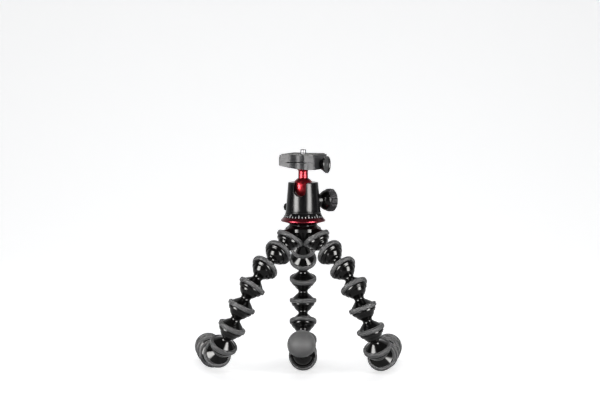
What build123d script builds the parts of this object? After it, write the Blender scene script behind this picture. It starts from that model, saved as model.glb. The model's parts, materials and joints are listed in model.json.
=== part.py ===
"""Flexible ball-jointed tripod with a ball head, a quick-release clamp and a camera plate.

Millimetres. +Z is up, -Y faces the viewer, and the floor is Z = 0. The three legs are chains
of moulded links: each link has a ball at its crown end and a cup with a rubber ring at its
foot end. The chains are bent, and their hidden ends lie flat on the floor.
"""

import math
import os
from build123d import *

# Leg link, measured along its axis from the ball centre towards the foot
pitch = 26.5
ball_r = 12.0
ball_flat_h = 11.0
cup_clearance = 0.15
waist_r = 5.6
waist_h = 12.3
waist_top_r = 6.4
waist_foot_r = 6.6
waist_length = 2.1
grip_seat_r = 13.3
grip_r = 16.4
grip_width = 5.4
grip_round = 1.6
grip_setback = 3.4
grip_fit = 0.02
lip_r = 14.2
lip_end_r = 12.8
lip_straight = 1.6
lip_length = 3.8

# Foot at the end of each leg
foot_core_r = 12.4
foot_plug_r = 10.4
foot_plug_length = 6.0
foot_back_h = 17.2
foot_rim_length = 2.4
foot_dome_r = 16.4
foot_nose_length = 35.4
foot_fit = 0.02

# Hub that carries the first three cups
hub_cup_radius = 19.7
hub_cup_depth = 18.6
hub_cup_dip = 57.0
hub_r = 20.9
hub_flat_r = 17.5
hub_lid_thickness = 1.4
hub_height = 17.0
hub_top_slope = 3.3
hub_top_inset = 4.4
hub_low_slope_width = 5.4
hub_low_slope_height = 8.6
hub_cone_r = 7.0
hub_cone_length = 6.5
hub_stud_r = 4.76
hub_stud_core_r = 4.2
hub_stud_depth = 11.0
hub_screw_r = 1.5
hub_screw_head_r = 2.8
hub_screw_head_height = 0.9
hub_screw_length = 7.0
hub_screw_circle_r = 12.0
thread_fit = 0.05

# Leg bends, in degrees: swing is the lean to the side, dip turns from towards the viewer (0)
# over straight down (90) to away from the viewer (180)
legs = {
    "left": {
        "azimuth": -60.0,
        "bends": [
            (-31, 37), (-35, 46), (-33, 73), (-26, 86), (-25, 94),
            (-22, 115), (-18, 148), (-14, 174), (-10, 180), (-8, 180),
        ],
    },
    "right": {
        "azimuth": 60.0,
        "bends": [
            (36, 40), (33, 47), (28, 61), (21, 83), (20, 90),
            (17, 113), (13, 149), (10, 180), (9, 180), (8, 180),
        ],
    },
    "rear": {
        "azimuth": 180.0,
        "bends": [
            (0, 149), (0, 133), (0, 104), (0, 86), (0, 65),
            (0, 46), (0, 21), (0, -3), (-1, -14), (-4, -48),
        ],
    },
}

# Ball head, heights measured up from the top of the hub
head_yaw = -13.0
base_foot_r = 15.4
base_r = 26.2
base_edge_h = 3.5
base_edge_thickness = 1.4
base_top_r = 23.2
base_h = 8.1
base_bore_depth = 6.0
boss_r = 18.6
boss_top = 12.4
scale_top_r = 20.8
scale_bore_r = 18.7
scale_top = 12.6
scale_band = 0.5
spindle_r = 13.0
spindle_bore_r = 6.0
spindle_top = 21.0
spindle_groove_h = 18.4
spindle_groove_depth = 1.6
spindle_groove_width = 3.8
housing_foot = 12.9
housing_foot_r = 20.8
housing_lip_h = 1.6
housing_waist_r = 20.2
housing_top_r = 17.7
housing_round = 1.2
lower_bore_r = 13.05
bore_gap = 0.3
lower_bore_top = spindle_top + bore_gap
well_web = 2.0
well_floor = lower_bore_top + well_web
ball_head_r = 12.5
seat_drop = 10.6
wedge_height = 8.9
seat_bottom = well_floor + wedge_height
ball_centre_h = seat_bottom + seat_drop
socket_clearance = 0.12
notch_width = 14.3
notch_drop = 9.9
notch_floor = ball_centre_h - notch_drop
mouth_lift = 6.3
housing_top = ball_centre_h + mouth_lift
seat_clearance = 0.1
seat_rim_drop = 2.8
seat_top = ball_centre_h - seat_rim_drop
seat_bore_r = 7.2
wedge_r = 11.8
wedge_dish = 0.4

# Main lock knob on the right of the housing, places measured out from the head's axis
lock_lift = 3.3
lock_h = well_floor + lock_lift
lock_angle = 130.0
lock_shaft_r = 3.0
lock_shaft_start = 7.6
lock_boss_r = 8.0
lock_boss_start = 14.0
lock_boss_end = 21.6
lock_neck_r = 6.6
lock_neck_start = 21.9
lock_flare_start = 22.4
lock_flare_r = 12.2
lock_flare_bulge = 0.6
lock_grip_start = 30.0
lock_grip_back = 3.0
lock_grip_end = 39.5
lock_grip_r = 13.5
lock_grip_round = 1.3
lock_core_r = 8.6
lock_cap_depth = 1.2
lock_lobes = 10
lock_lobe_r = 2.6
lock_lobe_depth = 1.2

# Small pan lock knob at the back left of the housing
pan_lock_h = 18.4
pan_lock_angle = -117.0
pan_lock_shaft_r = 1.6
pan_lock_shaft_start = 11.7
pan_lock_knob_start = 21.0
pan_lock_knob_end = 26.6
pan_lock_knob_r = 4.4
pan_lock_collar_r = 3.1
pan_lock_collar = 1.4
pan_lock_cap = 1.2
pan_lock_ribs = 12
pan_lock_rib_r = 0.5

# Stem and clamp
clamp_yaw = -23.0
stem_r = 5.7
stem_collar_r = 6.9
stem_collar_height = 1.4
stem_pad_r = 8.0
bolt_r = 2.5
bolt_head_r = 4.2
bolt_head_height = 2.4
bolt_sink = 1.1
bolt_key_r = 2.0
bolt_key_depth = 1.2
bolt_depth = 9.0
stem_reach = 22.0
clamp_bottom = ball_centre_h + stem_reach
floor_thickness = 8.4
clamp_floor = clamp_bottom + floor_thickness
dovetail_width = 38.0
jaw_wall = 3.5
clamp_width = dovetail_width + 2 * jaw_wall
clamp_depth = 40.0
clamp_belly = 4.2
clamp_belly_run = 22.0
clamp_round = 1.2
floor_relief_width = 25.0
floor_relief_depth = 0.8
scoop_width = 19.3
scoop_depth = 4.0
jaw_width = 8.0
jaw_gap = 0.3
jaw_sink = 0.1
jaw_rise = 5.8
jaw_top = clamp_floor + jaw_rise
jaw_slope = 4.8
dovetail_fit = 0.1
dovetail_lead = 0.8
clamp_screw_r = 2.2
clamp_screw_lift = 5.4
clamp_screw_h = clamp_bottom + clamp_screw_lift
clamp_screw_reach = 8.0
clamp_screw_start = clamp_width / 2 - jaw_width - jaw_gap - clamp_screw_reach
clamp_knob_gap = 0.3
clamp_knob_start = clamp_width / 2 + clamp_knob_gap
clamp_knob_length = 8.0
clamp_knob_end = clamp_knob_start + clamp_knob_length
clamp_knob_hub_r = 5.6
clamp_knob_r = 10.0
clamp_knob_dish_r = 8.0
clamp_knob_rim = 1.6
clamp_knob_cap = 0.8
clamp_knob_ribs = 24
clamp_knob_rib_r = 0.5
guide_pin_r = 1.5
guide_pin_spacing = 26.0
guide_pin_reach = 12.0
guide_pin_seat = 6.0

# Camera plate, its pad and its screw
plate_overhang = 3.0
plate_width = dovetail_width + 2 * plate_overhang
plate_depth = 40.0
plate_lift = 0.1
slab_thickness = 2.4
plate_top = jaw_top + slab_thickness
plate_round = 1.6
pad_thickness = 1.1
pad_margin = 1.6
pad_groove_pitch = 5.0
pad_groove_width = 0.9
pad_groove_depth = 0.4
camera_screw_r = 3.175
camera_screw_shank_r = 2.5
camera_screw_height = 5.0
camera_screw_head_r = 8.0
camera_screw_head_height = 2.6
camera_screw_pocket = 3.2
camera_screw_slot = 1.6
camera_screw_tip = 0.6

overrun = 30.0
running_fit = 0.05


def direction(swing, dip):
    """Unit vector of a link from its lean to the side and its dip, in degrees."""
    swing = math.radians(swing)
    dip = math.radians(dip)
    return (
        math.sin(swing),
        -math.cos(swing) * math.cos(dip),
        -math.cos(swing) * math.sin(dip),
    )


def moved(point, along, distance):
    """The point reached from a point by going a distance along a unit vector."""
    return tuple(p + distance * a for p, a in zip(point, along))


def cup_direction(azimuth):
    """Axis of a hub cup, out and down, for an azimuth turned from the viewer to the right."""
    turn = math.radians(azimuth)
    out = math.cos(math.radians(hub_cup_dip))
    return (
        out * math.sin(turn),
        -out * math.cos(turn),
        -math.sin(math.radians(hub_cup_dip)),
    )


def leg_chain(leg):
    """Ball centres of a leg, below a hub top at height zero, and the axis before and after each."""
    azimuth = legs[leg]["azimuth"]
    turn = math.radians(azimuth)
    axes = [cup_direction(azimuth)]
    balls = [
        (hub_cup_radius * math.sin(turn), -hub_cup_radius * math.cos(turn), -hub_cup_depth)
    ]
    for swing, dip in legs[leg]["bends"]:
        axes.append(direction(swing, dip))
        balls.append(moved(balls[-1], axes[-1], pitch))
    return balls, axes


def lowest_ring():
    """Height of the lowest ring edge below the top of the hub."""
    low = 0.0
    for leg in legs:
        balls, axes = leg_chain(leg)
        for ball, axis in zip(balls[:-1], axes[:-1]):
            centre = moved(ball, axis, -grip_setback)
            low = min(low, centre[2] - grip_r * math.sqrt(1 - axis[2] ** 2))
    return low


hub_top = -lowest_ring()
cup_r = ball_r + cup_clearance


def axis_frame(origin, axis):
    """Plane through an axis, with its local Y along the axis and its local X across it."""
    side = Vector(*axis).cross(Vector(0, 0, 1))
    if side.length < math.sin(math.radians(1)):
        side = Vector(1, 0, 0)
    return Plane(origin=origin, x_dir=side.normalized(), z_dir=side.cross(Vector(*axis)))


def ball_profile(frame, top_r, top_h):
    """Closed half profile of a ball and its waist, up to a flat circle at the given place."""
    flat_r = math.sqrt(ball_r**2 - ball_flat_h**2)
    waist_foot = waist_h + waist_length
    waist_top_h = math.sqrt(ball_r**2 - waist_top_r**2)
    with BuildSketch(frame) as profile:
        with BuildLine():
            Line((0, -ball_flat_h), (flat_r, -ball_flat_h))
            ThreePointArc((flat_r, -ball_flat_h), (ball_r, 0), (waist_top_r, waist_top_h))
            ThreePointArc((waist_top_r, waist_top_h), (waist_r, waist_h), (waist_foot_r, waist_foot))
            Line((waist_foot_r, waist_foot), (top_r, top_h))
            Line((top_r, top_h), (0, top_h))
            Line((0, top_h), (0, -ball_flat_h))
        make_face()
    return profile.sketch


def cup_wall(frame, cup_h):
    """Half profile of a cup: the seat for its grip ring, the flange and the rounded lip."""
    seat_back = cup_h - grip_setback - grip_width / 2
    seat_front = seat_back + grip_width
    lip_h = cup_h + lip_length
    with BuildSketch(frame) as profile:
        with BuildLine():
            Polyline(
                (0, seat_back),
                (grip_seat_r, seat_back),
                (grip_seat_r, seat_front),
                (lip_r, seat_front),
                (lip_r, seat_front + lip_straight),
            )
            Spline(
                (lip_r, seat_front + lip_straight),
                (lip_end_r, lip_h),
                tangents=[(0, 1), (-1, 1)],
            )
            Polyline((lip_end_r, lip_h), (0, lip_h), (0, seat_back))
        make_face()
    return profile.sketch


def ring_profile(frame, cup_h):
    """Half profile of a rubber grip ring with rounded outer edges, seated behind a cup's flange."""
    back = cup_h - grip_setback - grip_width / 2 + grip_fit
    front = back + grip_width - 2 * grip_fit
    bore = grip_seat_r + grip_fit
    with BuildSketch(frame) as profile:
        with BuildLine():
            Line((bore, back), (grip_r - grip_round, back))
            RadiusArc((grip_r - grip_round, back), (grip_r, back + grip_round), -grip_round)
            Line((grip_r, back + grip_round), (grip_r, front - grip_round))
            RadiusArc((grip_r, front - grip_round), (grip_r - grip_round, front), -grip_round)
            Polyline((grip_r - grip_round, front), (bore, front), (bore, back))
        make_face()
    return profile.sketch


def leg_link(ball, axis):
    """One moulded link with its rubber ring: ball, waist, cone, ring seat, lip and hollow cup."""
    frame = axis_frame(ball, axis)
    turn = Axis(ball, axis)
    seat_back = pitch - grip_setback - grip_width / 2
    with BuildPart() as link:
        revolve(ball_profile(frame, grip_seat_r, seat_back), axis=turn)
        revolve(cup_wall(frame, pitch), axis=turn)
        with Locations(Location(moved(ball, axis, pitch))):
            Sphere(cup_r, mode=Mode.SUBTRACT)
        revolve(ring_profile(frame, pitch), axis=turn)
    return link.part


def foot_core(ball, axis):
    """Ball, waist and cone of a foot, with the plug that its rubber dome is moulded onto."""
    frame = axis_frame(ball, axis)
    turn = Axis(ball, axis)
    with BuildPart() as core:
        revolve(ball_profile(frame, foot_core_r, foot_back_h), axis=turn)
        with BuildSketch(Plane(moved(ball, axis, foot_back_h), z_dir=axis)):
            Circle(foot_plug_r)
        extrude(amount=foot_plug_length)
    return core.part


def foot_dome(ball, axis):
    """Rubber dome of a foot: a rounded back rim, a short straight band and a full nose."""
    frame = axis_frame(ball, axis)
    turn = Axis(ball, axis)
    bore = foot_plug_r + foot_fit
    bore_end = foot_back_h + foot_plug_length + foot_fit
    back = foot_back_h + foot_fit
    band = back + grip_round
    band_end = band + foot_rim_length
    with BuildPart() as dome:
        with BuildSketch(frame):
            with BuildLine():
                Polyline((0, bore_end), (bore, bore_end), (bore, back), (foot_dome_r - grip_round, back))
                RadiusArc((foot_dome_r - grip_round, back), (foot_dome_r, band), -grip_round)
                Line((foot_dome_r, band), (foot_dome_r, band_end))
                Spline(
                    (foot_dome_r, band_end),
                    (0, foot_nose_length),
                    tangents=[(0, 1), (-1, 0)],
                )
                Line((0, foot_nose_length), (0, bore_end))
            make_face()
        revolve(axis=turn)
    return dome.part


def hub_body():
    """Hub with three flats, slanted under-faces and the first cup of each leg."""
    top = hub_top - hub_lid_thickness
    seat_back = -grip_setback - grip_width / 2
    widest = top - hub_top_slope
    low_edge = hub_top - hub_height + hub_low_slope_height
    top_taper = math.degrees(math.atan2(hub_top_inset, hub_top_slope))
    low_taper = math.degrees(math.atan2(hub_low_slope_width, hub_low_slope_height))
    with BuildPart() as body:
        with BuildSketch(Plane.XY.offset(widest)) as plan:
            Circle(hub_r)
            RegularPolygon(hub_flat_r, 3, major_radius=False, rotation=-90, mode=Mode.INTERSECT)
        extrude(amount=low_edge - widest)
        extrude(plan.sketch, amount=hub_top_slope, taper=top_taper)
        extrude(
            plan.sketch.moved(Location((0, 0, low_edge - widest))),
            amount=-hub_low_slope_height,
            taper=low_taper,
        )
        for leg in legs:
            cup, axis = first_cup(leg)
            with BuildSketch(Plane(moved(cup, axis, seat_back), z_dir=axis)):
                Rectangle(overrun * 2, overrun * 2)
            extrude(amount=overrun, mode=Mode.SUBTRACT)
        for leg in legs:
            cup, axis = first_cup(leg)
            frame = axis_frame(cup, axis)
            with BuildSketch(frame):
                with BuildLine():
                    Polyline(
                        (0, seat_back),
                        (grip_seat_r, seat_back),
                        (hub_cone_r, seat_back - hub_cone_length),
                        (0, seat_back - hub_cone_length),
                        (0, seat_back),
                    )
                make_face()
            revolve(axis=Axis(cup, axis))
            revolve(cup_wall(frame, 0), axis=Axis(cup, axis))
        for leg in legs:
            cup, axis = first_cup(leg)
            with Locations(Location(cup)):
                Sphere(cup_r, mode=Mode.SUBTRACT)
        with Locations(Location((0, 0, top - hub_stud_depth))):
            Cylinder(
                hub_stud_r + thread_fit,
                hub_stud_depth,
                align=(Align.CENTER, Align.CENTER, Align.MIN),
                mode=Mode.SUBTRACT,
            )
        with Locations(Plane.XY.offset(top)):
            with PolarLocations(hub_screw_circle_r, len(legs), start_angle=-90):
                Hole(hub_screw_r + thread_fit, depth=hub_screw_length)
    return body.part


def first_cup(leg):
    """Centre and axis of the hub cup of a leg."""
    balls, axes = leg_chain(leg)
    return raised(balls[0]), axes[0]


def raised(point):
    """A point of a leg chain, lifted so that the chain stands on the floor."""
    return moved(point, (0, 0, 1), hub_top)


def hub_grip_rings():
    """The three rubber rings on the cups of the hub."""
    with BuildPart() as rings:
        for leg in legs:
            cup, axis = first_cup(leg)
            revolve(ring_profile(axis_frame(cup, axis), 0), axis=Axis(cup, axis))
    return rings.part


def hub_lid():
    """Round lid of the hub, with the stud's hole and three sunk screw holes."""
    plane = Plane.XY.offset(hub_top)
    with BuildPart() as lid:
        with BuildSketch(plane):
            Circle(hub_r - hub_top_inset)
            RegularPolygon(hub_flat_r - hub_top_inset, 3, major_radius=False, rotation=-90, mode=Mode.INTERSECT)
        extrude(amount=-hub_lid_thickness)
        chamfer(lid.faces().sort_by(Axis.Z)[-1].edges(), length=hub_lid_thickness / 2)
        with Locations(plane):
            Hole(hub_stud_r + thread_fit)
            with PolarLocations(hub_screw_circle_r, len(legs), start_angle=-90):
                CounterBoreHole(
                    hub_screw_r + thread_fit,
                    hub_screw_head_r + thread_fit,
                    hub_screw_head_height,
                )
    return lid.part


def hub_stud():
    """Steel stud that joins the hub and the foot of the ball head."""
    with BuildPart() as stud:
        with BuildSketch(Plane.XY.offset(hub_top - hub_lid_thickness - hub_stud_depth)):
            Circle(hub_stud_r)
        extrude(amount=hub_stud_depth + hub_lid_thickness + base_bore_depth)
        chamfer(stud.edges().filter_by(GeomType.CIRCLE), length=hub_stud_r - hub_stud_core_r)
    return stud.part


def hub_lid_screws():
    """Three low-headed screws that hold the lid on the hub."""
    with BuildPart() as screws:
        with Locations(Plane.XY.offset(hub_top)):
            with PolarLocations(hub_screw_circle_r, len(legs), start_angle=-90):
                Cylinder(
                    hub_screw_head_r,
                    hub_screw_head_height,
                    align=(Align.CENTER, Align.CENTER, Align.MAX),
                )
                Cylinder(
                    hub_screw_r,
                    hub_screw_head_height + hub_screw_length,
                    align=(Align.CENTER, Align.CENTER, Align.MAX),
                )
    return screws.part


def head_plane(height, yaw=head_yaw):
    """Level plane at a height above the hub top, turned about the axis of the head."""
    return Plane((0, 0, hub_top + height)).rotated((0, 0, yaw))


def side_plane(height, angle, distance):
    """Upright plane facing out of the head at a turn from its notch, to its right if positive."""
    turn = math.radians(head_yaw + angle)
    out = (math.sin(turn), -math.cos(turn), 0)
    return Plane(moved((0, 0, hub_top + height), out, distance), x_dir=(0, 0, 1), z_dir=out)


def profile_plane(yaw=head_yaw):
    """Upright plane through the axis of the head, with its zero height at the hub top."""
    turn = math.radians(yaw)
    return Plane(
        (0, 0, hub_top),
        x_dir=(math.cos(turn), math.sin(turn), 0),
        z_dir=(math.sin(turn), -math.cos(turn), 0),
    )


def turned(*points, plane=None):
    """Solid of revolution about the head's axis from a closed outline of radius and height."""
    with BuildPart() as solid:
        with BuildSketch(plane or profile_plane()):
            with BuildLine():
                Polyline(*points, points[0])
            make_face()
        revolve(axis=Axis.Z)
    return solid.part


def pan_base():
    """Red disc under the head, with a tapered foot, a rounded rim and a central boss."""
    edge_top = base_edge_h + base_edge_thickness
    with BuildPart() as base:
        with BuildSketch(profile_plane()):
            with BuildLine():
                Line((0, 0), (base_foot_r, 0))
                Line((base_foot_r, 0), (base_r - base_edge_thickness / 2, base_edge_h))
                ThreePointArc(
                    (base_r - base_edge_thickness / 2, base_edge_h),
                    (base_r, base_edge_h + base_edge_thickness / 2),
                    (base_r - base_edge_thickness / 2, edge_top),
                )
                Polyline(
                    (base_r - base_edge_thickness / 2, edge_top),
                    (base_top_r, base_h),
                    (boss_r, base_h),
                    (boss_r, boss_top),
                    (0, boss_top),
                    (0, 0),
                )
            make_face()
        revolve(axis=Axis.Z)
        with BuildSketch(head_plane(0)):
            Circle(hub_stud_r + thread_fit)
        extrude(amount=base_bore_depth, mode=Mode.SUBTRACT)
    return base.part


def pan_scale_ring():
    """Flared ring round the boss of the base, with a bevelled top for the degree marks."""
    edge = base_h + scale_band
    return turned(
        (scale_bore_r, base_h),
        (base_top_r, base_h),
        (base_top_r, edge),
        (scale_top_r, scale_top),
        (scale_bore_r, scale_top),
    )


def pan_spindle():
    """Grooved steel post on the base, which the head turns round."""
    groove_foot = spindle_groove_h - spindle_groove_width / 2
    groove_head = spindle_groove_h + spindle_groove_width / 2
    waist = spindle_r - spindle_groove_depth
    return turned(
        (spindle_bore_r, boss_top),
        (spindle_r, boss_top),
        (spindle_r, groove_foot),
        (waist, groove_foot),
        (waist, groove_head),
        (spindle_r, groove_head),
        (spindle_r, spindle_top),
        (spindle_bore_r, spindle_top),
    )


def notch():
    """Solid that cuts the round-bottomed notch for the stem out of the front."""
    with BuildPart() as cutter:
        with BuildSketch(side_plane(notch_floor + notch_width / 2, 0, 0)):
            Circle(notch_width / 2)
            Rectangle(overrun, notch_width, align=(Align.MIN, Align.CENTER))
        extrude(amount=overrun)
    return cutter.part


def head_housing():
    """Tapered housing: spindle bore below, ball well above, notch in front, lock boss at the side."""
    well_r = ball_head_r + socket_clearance
    mouth_r = math.sqrt(well_r**2 - (housing_top - ball_centre_h) ** 2)
    mid_angle = math.asin((housing_top - ball_centre_h) / well_r) / 2
    lip_top = housing_foot + housing_lip_h
    with BuildPart() as housing:
        with BuildSketch(profile_plane()):
            with BuildLine():
                Polyline(
                    (lower_bore_r, housing_foot),
                    (housing_foot_r, housing_foot),
                    (housing_foot_r, lip_top),
                    (housing_waist_r, lip_top + housing_foot_r - housing_waist_r),
                    (housing_top_r, housing_top - housing_round),
                )
                RadiusArc(
                    (housing_top_r, housing_top - housing_round),
                    (housing_top_r - housing_round, housing_top),
                    -housing_round,
                )
                Line((housing_top_r - housing_round, housing_top), (mouth_r, housing_top))
                ThreePointArc(
                    (mouth_r, housing_top),
                    (
                        well_r * math.cos(mid_angle),
                        ball_centre_h + well_r * math.sin(mid_angle),
                    ),
                    (well_r, ball_centre_h),
                )
                Polyline(
                    (well_r, ball_centre_h),
                    (well_r, well_floor),
                    (0, well_floor),
                    (0, lower_bore_top),
                    (lower_bore_r, lower_bore_top),
                    (lower_bore_r, housing_foot),
                )
            make_face()
        revolve(axis=Axis.Z)
        with BuildSketch(side_plane(lock_h, lock_angle, lock_boss_start)):
            Circle(lock_boss_r)
        extrude(amount=lock_boss_end - lock_boss_start)
        with BuildSketch(side_plane(lock_h, lock_angle, 0)):
            Circle(lock_shaft_r + running_fit)
        extrude(amount=overrun, mode=Mode.SUBTRACT)
        with BuildSketch(side_plane(pan_lock_h, pan_lock_angle, 0)):
            Circle(pan_lock_shaft_r + running_fit)
        extrude(amount=overrun, mode=Mode.SUBTRACT)
        add(notch(), mode=Mode.SUBTRACT)
    return housing.part


def ball_seat():
    """Plastic cup under the ball, open at the front like the housing."""
    outer_r = ball_head_r + socket_clearance - seat_clearance
    with BuildPart() as seat:
        with BuildSketch(head_plane(seat_bottom)):
            Circle(outer_r)
            Circle(seat_bore_r, mode=Mode.SUBTRACT)
        extrude(amount=seat_top - seat_bottom)
        with Locations(head_plane(ball_centre_h)):
            Sphere(ball_head_r + socket_clearance, mode=Mode.SUBTRACT)
        add(notch(), mode=Mode.SUBTRACT)
    return seat.part


def pressure_wedge():
    """Block under the ball seat that the lock screw drives up."""
    with BuildPart() as wedge:
        with BuildSketch(head_plane(well_floor)):
            Circle(wedge_r)
        extrude(amount=seat_bottom - well_floor)
        with Locations(head_plane(ball_centre_h)):
            Sphere(ball_head_r + wedge_dish, mode=Mode.SUBTRACT)
        with BuildSketch(side_plane(lock_h, lock_angle, lock_shaft_start - thread_fit)):
            Circle(lock_shaft_r + running_fit)
        extrude(amount=overrun, mode=Mode.SUBTRACT)
    return wedge.part


def lock_knob_shaft():
    """Steel screw of the main lock knob."""
    with BuildPart() as shaft:
        with BuildSketch(side_plane(lock_h, lock_angle, lock_shaft_start)):
            Circle(lock_shaft_r)
        extrude(amount=lock_grip_end - lock_cap_depth - lock_shaft_start)
    return shaft.part


def lock_knob_core():
    """Hard core of the main lock knob: a neck, a domed flare and the hub inside its grip."""
    hub_end = lock_grip_end - lock_cap_depth
    outline = [
        (lock_flare_r, lock_grip_start),
        (lock_core_r, lock_grip_start),
        (lock_core_r, hub_end),
        (lock_shaft_r + thread_fit, hub_end),
        (lock_shaft_r + thread_fit, lock_neck_start),
        (lock_neck_r, lock_neck_start),
        (lock_neck_r, lock_flare_start),
    ]
    return turned_out(outline, lock_h, lock_angle, lock_flare_bulge)


def turned_out(outline, height, angle, bulge=0):
    """Solid turned about a level axis out of the head; its closing line may bulge outwards."""
    base = side_plane(height, angle, 0)
    frame = Plane(base.origin, x_dir=base.x_dir, z_dir=base.x_dir.cross(base.z_dir))
    with BuildPart() as solid:
        with BuildSketch(frame):
            with BuildLine():
                Polyline(*outline)
                if bulge:
                    SagittaArc(outline[-1], outline[0], -bulge)
                else:
                    Line(outline[-1], outline[0])
            make_face()
        revolve(axis=Axis(base.origin, base.z_dir))
    return solid.part


def lock_knob_grip():
    """Lobed rubber grip of the main lock knob, swelling from the flare and bevelled at its end."""
    bore = lock_core_r + grip_fit
    outline = [
        (bore, lock_grip_start),
        (lock_flare_r, lock_grip_start),
        (lock_grip_r, lock_grip_start + lock_grip_back),
        (lock_grip_r, lock_grip_end - lock_grip_round),
        (lock_grip_r - lock_grip_round, lock_grip_end),
        (bore, lock_grip_end),
    ]
    with BuildPart() as grip:
        add(turned_out(outline, lock_h, lock_angle))
        with BuildSketch(side_plane(lock_h, lock_angle, lock_grip_start)):
            with PolarLocations(lock_grip_r + lock_lobe_r - lock_lobe_depth, lock_lobes):
                Circle(lock_lobe_r)
        extrude(amount=lock_grip_end - lock_grip_start, mode=Mode.SUBTRACT)
    return grip.part


def pan_lock_screw():
    """Thin screw of the pan lock, its tip in the groove of the spindle."""
    with BuildPart() as screw:
        with BuildSketch(side_plane(pan_lock_h, pan_lock_angle, pan_lock_shaft_start)):
            Circle(pan_lock_shaft_r)
        extrude(amount=pan_lock_knob_end - pan_lock_cap - pan_lock_shaft_start)
    return screw.part


def pan_lock_knob():
    """Small ribbed knob of the pan lock."""
    with BuildPart() as knob:
        with BuildSketch(side_plane(pan_lock_h, pan_lock_angle, pan_lock_knob_start)):
            Circle(pan_lock_collar_r)
        extrude(amount=pan_lock_collar)
        with BuildSketch(
            side_plane(pan_lock_h, pan_lock_angle, pan_lock_knob_start + pan_lock_collar)
        ):
            Circle(pan_lock_knob_r)
            with PolarLocations(pan_lock_knob_r, pan_lock_ribs):
                Circle(pan_lock_rib_r, mode=Mode.SUBTRACT)
        extrude(amount=pan_lock_knob_end - pan_lock_knob_start - pan_lock_collar)
        with BuildSketch(side_plane(pan_lock_h, pan_lock_angle, 0)):
            Circle(pan_lock_shaft_r + thread_fit)
        extrude(amount=pan_lock_knob_end - pan_lock_cap + thread_fit, mode=Mode.SUBTRACT)
    return knob.part


def stem_foot_h():
    """Height of the flat on the ball that the stem stands on."""
    return ball_centre_h + math.sqrt(ball_head_r**2 - stem_r**2)


def ball():
    """Red ball with a flat and a threaded hole for the stem."""
    with BuildPart() as sphere:
        with Locations(head_plane(ball_centre_h)):
            Sphere(ball_head_r)
        with BuildSketch(head_plane(stem_foot_h())):
            Circle(ball_head_r)
        extrude(amount=ball_head_r, mode=Mode.SUBTRACT)
        with BuildSketch(head_plane(stem_foot_h())):
            Circle(bolt_r + running_fit)
        extrude(amount=-bolt_depth, mode=Mode.SUBTRACT)
    return sphere.part


def ball_stem():
    """Red stem between the ball and the clamp, with a collar under the clamp."""
    collar = clamp_bottom - stem_collar_height
    return turned(
        (bolt_r + thread_fit, stem_foot_h()),
        (stem_r, stem_foot_h()),
        (stem_r, collar - stem_collar_r + stem_r),
        (stem_collar_r, collar),
        (stem_collar_r, clamp_bottom),
        (bolt_r + thread_fit, clamp_bottom),
    )


def clamp_bolt():
    """Cap screw that ties the clamp and the stem to the ball."""
    top = clamp_floor - bolt_sink
    with BuildPart() as bolt:
        with BuildSketch(head_plane(top, clamp_yaw)):
            Circle(bolt_head_r)
            RegularPolygon(bolt_key_r, 6, mode=Mode.SUBTRACT)
        extrude(amount=-bolt_key_depth)
        with BuildSketch(head_plane(top - bolt_key_depth, clamp_yaw)):
            Circle(bolt_head_r)
        extrude(amount=bolt_key_depth - bolt_head_height)
        with BuildSketch(head_plane(top - bolt_head_height, clamp_yaw)):
            Circle(bolt_r)
        extrude(amount=stem_foot_h() - bolt_depth + running_fit - top + bolt_head_height)
    return bolt.part


def clamp_solid(*points, depth=None):
    """Straight block of the clamp from a closed outline of its front end."""
    with BuildPart() as solid:
        with BuildSketch(profile_plane(clamp_yaw)):
            with BuildLine():
                Polyline(*points, points[0])
            make_face()
        extrude(amount=(depth or clamp_depth) / 2, both=True)
    return solid.part


def rail_half():
    """Half width of the plate's dovetail at its foot."""
    return dovetail_width / 2


def level_rod(side_place, radius, start, end):
    """Round rod across the clamp, at the height of its screw."""
    base = head_plane(clamp_screw_h, clamp_yaw)
    origin = base.from_local_coords((start, side_place, 0))
    with BuildPart() as rod:
        with BuildSketch(Plane(origin, x_dir=base.y_dir, z_dir=base.x_dir)):
            Circle(radius)
        extrude(amount=end - start)
    return rod.part


def scoops():
    """Solid that hollows an upright scoop out of the front and the back of the clamp."""
    scoop_r = ((scoop_width / 2) ** 2 + scoop_depth**2) / (2 * scoop_depth)
    spacing = clamp_depth + 2 * (scoop_r - scoop_depth)
    with BuildPart() as cutter:
        with BuildSketch(head_plane(clamp_bottom, clamp_yaw)):
            with GridLocations(0, spacing, 1, 2):
                Circle(scoop_r)
        extrude(amount=overrun)
    return cutter.part


def guide_pin_places():
    """Places of the two guide pins along the dovetail."""
    return (-guide_pin_spacing / 2, guide_pin_spacing / 2)


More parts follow.
